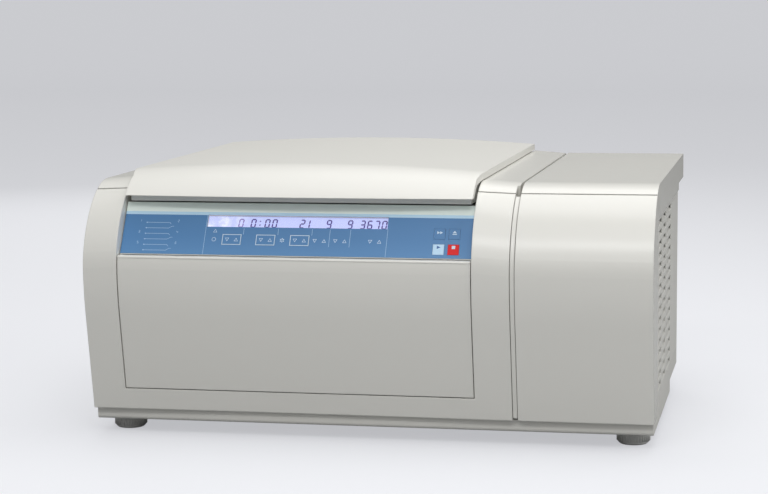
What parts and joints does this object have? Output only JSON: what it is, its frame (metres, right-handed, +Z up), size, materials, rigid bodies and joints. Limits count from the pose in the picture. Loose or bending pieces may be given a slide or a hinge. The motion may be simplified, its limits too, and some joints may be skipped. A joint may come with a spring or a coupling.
{
  "type": "refrigerated centrifuge",
  "caption": "Refrigerated bench centrifuge with a curved hinged lid, sloping control panel, swing-out rotor in a cooled bowl and a vented side compartment.",
  "frame": {"origin": "on the bench, under the middle of the overall box", "axes": "+X to the user's right along the width, +Y to the rear, +Z up"},
  "size_m": [0.746, 0.605, 0.3599],
  "materials": {
    "cover_plastic": "satin warm white moulded cover",
    "grey_liner": "light grey liner",
    "painted_sheet": "warm white powder coat",
    "tray_paint": "warm white powder coat",
    "chassis_paint": "dark grey paint",
    "blue_foil": "printed blue membrane",
    "key_blue": "light blue key face",
    "key_red": "red key face",
    "key_field": "blue key face with white frame",
    "display_clear": "clear display window",
    "display_body": "pale lilac display",
    "board": "green circuit board",
    "stainless": "brushed stainless",
    "steel": "plain steel",
    "foam": "insulating foam",
    "copper": "copper tube",
    "seal_rubber": "black seal",
    "foot_rubber": "grey rubber",
    "mount_rubber": "black rubber",
    "motor_paint": "black paint",
    "aluminium": "bare aluminium",
    "rotor_alloy": "anodised aluminium",
    "bucket_alloy": "anodised aluminium",
    "black_plastic": "black plastic",
    "chrome_rod": "polished rod",
    "cylinder_paint": "black enamel"
  },
  "bodies": {
    "housing": {"base_tray": "tray_paint", "rubber_feet": "foot_rubber", "chassis_plate": "chassis_paint", "front_cover": "cover_plastic", "front_inset_panel": "cover_plastic", "control_bezel": "cover_plastic", "control_foil": "blue_foil", "display_window": "display_clear", "display_module": "display_body", "control_board": "board", "side_front_cover": "cover_plastic", "partition_panel": "cover_plastic", "top_cover": "cover_plastic", "side_top_cover": "cover_plastic", "left_side_panel": "painted_sheet", "right_side_panel": "painted_sheet", "rear_panel": "painted_sheet", "chamber_bowl": "stainless", "armour_ring": "steel", "chamber_insulation": "foam", "evaporator_coil": "copper", "chamber_gasket": "seal_rubber", "drive_motor": "motor_paint", "motor_mounts": "mount_rubber", "compressor": "motor_paint", "condenser": "aluminium", "fan_shroud": "motor_paint", "power_unit": "aluminium", "mains_inlet": "black_plastic", "refrigerant_pipes": "copper", "hinge_brackets": "steel", "hinge_pins": "stainless", "latch_housings": "steel", "casing_screws": "stainless"},
    "lid": {"lid_shell": "cover_plastic", "lid_liner": "grey_liner", "lid_brackets": "steel", "lid_strikers": "stainless"},
    "gas_cylinder_left": {"gas_cylinder_left": "cylinder_paint"},
    "gas_rod_left": {"gas_rod_left": "chrome_rod"},
    "gas_cylinder_right": {"gas_cylinder_right": "cylinder_paint"},
    "gas_rod_right": {"gas_rod_right": "chrome_rod"},
    "latch_hook_left": {"latch_hook_left": "steel"},
    "latch_hook_right": {"latch_hook_right": "steel"},
    "mains_switch": {"mains_switch": "black_plastic"},
    "fan_rotor": {"fan_rotor": "black_plastic"},
    "rotor": {"spindle": "stainless", "rotor_cross": "rotor_alloy"},
    "rotor_knob": {"rotor_knob": "black_plastic"},
    "swing_bucket_1": {"swing_bucket_1": "bucket_alloy"},
    "swing_bucket_2": {"swing_bucket_2": "bucket_alloy"},
    "swing_bucket_3": {"swing_bucket_3": "bucket_alloy"},
    "swing_bucket_4": {"swing_bucket_4": "bucket_alloy"},
    "start_key": {"start_key": "key_blue"},
    "stop_key": {"stop_key": "key_red"},
    "quick_run_key": {"quick_run_key": "key_field"},
    "lid_key": {"lid_key": "key_field"},
    "speed_keys": {"speed_keys": "key_field"},
    "time_keys": {"time_keys": "key_field"},
    "temperature_keys": {"temperature_keys": "key_field"}
  },
  "joints": [
    {"name": "lid_hinge", "type": "hinge", "parent": "housing", "child": "lid", "pos_m": [-0.09225, 0.2825, 0.331], "axis": [-1, 0, 0], "range_deg": [0, 80]},
    {"name": "gas_cylinder_left_pivot", "type": "hinge", "parent": "housing", "child": "gas_cylinder_left", "pos_m": [-0.311, 0.0275, 0.322], "axis": [1, 0, 0], "range_deg": [0, 17.41]},
    {"name": "gas_rod_left_slide", "type": "slide", "parent": "gas_cylinder_left", "child": "gas_rod_left", "axis": [0, 0.9964, 0.0845], "range_m": [0, 0.0982]},
    {"name": "gas_cylinder_right_pivot", "type": "hinge", "parent": "housing", "child": "gas_cylinder_right", "pos_m": [0.1265, 0.0275, 0.322], "axis": [1, 0, 0], "range_deg": [0, 17.41]},
    {"name": "gas_rod_right_slide", "type": "slide", "parent": "gas_cylinder_right", "child": "gas_rod_right", "axis": [0, 0.9964, 0.0845], "range_m": [0, 0.0982]},
    {"name": "latch_hook_left_pivot", "type": "hinge", "parent": "housing", "child": "latch_hook_left", "pos_m": [-0.25725, -0.1965, 0.28], "axis": [1, 0, 0], "range_deg": [0, 60]},
    {"name": "latch_hook_right_pivot", "type": "hinge", "parent": "housing", "child": "latch_hook_right", "pos_m": [0.07275, -0.1965, 0.28], "axis": [1, 0, 0], "range_deg": [0, 60]},
    {"name": "mains_switch_rocker", "type": "hinge", "parent": "housing", "child": "mains_switch", "pos_m": [0.2745, 0.1955, 0.1], "axis": [-1, 0, 0], "range_deg": [0, 20]},
    {"name": "fan_spin", "type": "hinge", "parent": "housing", "child": "fan_rotor", "pos_m": [0.293, -0.0825, 0.165], "axis": [1, 0, 0], "continuous": true},
    {"name": "rotor_spin", "type": "hinge", "parent": "housing", "child": "rotor", "pos_m": [-0.09225, -0.0125, 0.232], "axis": [0, 0, 1], "continuous": true},
    {"name": "rotor_knob_turn", "type": "hinge", "parent": "rotor", "child": "rotor_knob", "pos_m": [-0.09225, -0.0125, 0.286], "axis": [0, 0, 1], "continuous": true},
    {"name": "bucket_1_swing", "type": "hinge", "parent": "rotor", "child": "swing_bucket_1", "pos_m": [-0.01025, -0.0125, 0.232], "axis": [0, -1, 0], "range_deg": [0, 90]},
    {"name": "bucket_2_swing", "type": "hinge", "parent": "rotor", "child": "swing_bucket_2", "pos_m": [-0.09225, 0.0695, 0.232], "axis": [1, 0, 0], "range_deg": [0, 90]},
    {"name": "bucket_3_swing", "type": "hinge", "parent": "rotor", "child": "swing_bucket_3", "pos_m": [-0.17425, -0.0125, 0.232], "axis": [0, 1, 0], "range_deg": [0, 90]},
    {"name": "bucket_4_swing", "type": "hinge", "parent": "rotor", "child": "swing_bucket_4", "pos_m": [-0.09225, -0.0945, 0.232], "axis": [-1, 0, 0], "range_deg": [0, 90]},
    {"name": "start_key_press", "type": "slide", "parent": "housing", "child": "start_key", "axis": [0, 0.8536, -0.521], "range_m": [0, 0.0006], "stiffness_N_per_m": 800},
    {"name": "stop_key_press", "type": "slide", "parent": "housing", "child": "stop_key", "axis": [0, 0.8536, -0.521], "range_m": [0, 0.0006], "stiffness_N_per_m": 800},
    {"name": "quick_run_key_press", "type": "slide", "parent": "housing", "child": "quick_run_key", "axis": [0, 0.8536, -0.521], "range_m": [0, 0.0006], "stiffness_N_per_m": 800},
    {"name": "lid_key_press", "type": "slide", "parent": "housing", "child": "lid_key", "axis": [0, 0.8536, -0.521], "range_m": [0, 0.0006], "stiffness_N_per_m": 800},
    {"name": "speed_keys_press", "type": "slide", "parent": "housing", "child": "speed_keys", "axis": [0, 0.8536, -0.521], "range_m": [0, 0.0006], "stiffness_N_per_m": 800},
    {"name": "time_keys_press", "type": "slide", "parent": "housing", "child": "time_keys", "axis": [0, 0.8536, -0.521], "range_m": [0, 0.0006], "stiffness_N_per_m": 800},
    {"name": "temperature_keys_press", "type": "slide", "parent": "housing", "child": "temperature_keys", "axis": [0, 0.8536, -0.521], "range_m": [0, 0.0006], "stiffness_N_per_m": 800}
  ],
  "couplings": [
    {"joint": "gas_cylinder_left_pivot", "follows": "lid_hinge", "ratio": 0.21387},
    {"joint": "gas_rod_left_slide", "follows": "lid_hinge", "m_per_rad": 0.070054},
    {"joint": "gas_cylinder_right_pivot", "follows": "lid_hinge", "ratio": 0.21387},
    {"joint": "gas_rod_right_slide", "follows": "lid_hinge", "m_per_rad": 0.070054},
    {"joint": "latch_hook_right_pivot", "follows": "latch_hook_left_pivot", "ratio": 1}
  ]
}
